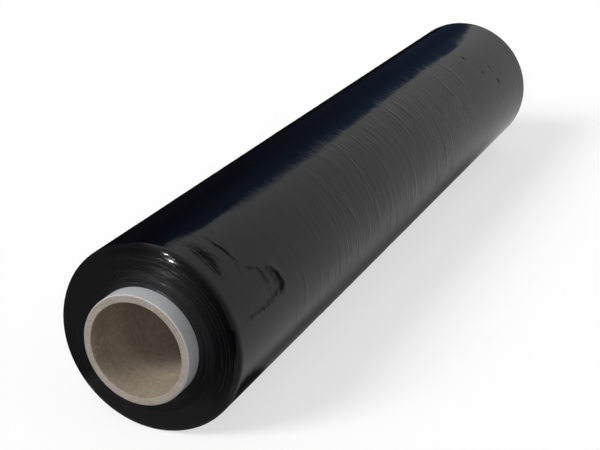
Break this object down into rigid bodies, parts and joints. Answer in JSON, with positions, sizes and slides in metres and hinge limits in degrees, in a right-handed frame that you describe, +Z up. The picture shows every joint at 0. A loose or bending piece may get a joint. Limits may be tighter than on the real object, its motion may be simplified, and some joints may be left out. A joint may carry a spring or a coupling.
{
  "type": "stretch wrap roll",
  "caption": "Roll of glossy black stretch film wound on an open paperboard core that stands out at both ends, lying on its side.",
  "frame": {"origin": "on the ground under the middle of the roll, at the centre of the flat spot that it rests on", "axes": "+X along the roll's axis, away from the end that the picture shows; +Z up; +Y to the left of +X"},
  "size_m": [0.52, 0.1, 0.0995],
  "materials": {
    "paperboard": "matte, greyed outside, kraft brown at the cut ends and in the bore",
    "black_film": "glossy black film with fine wrinkles round the roll"
  },
  "bodies": {
    "root": {"core": "paperboard", "film": "black_film"}
  },
  "joints": []
}
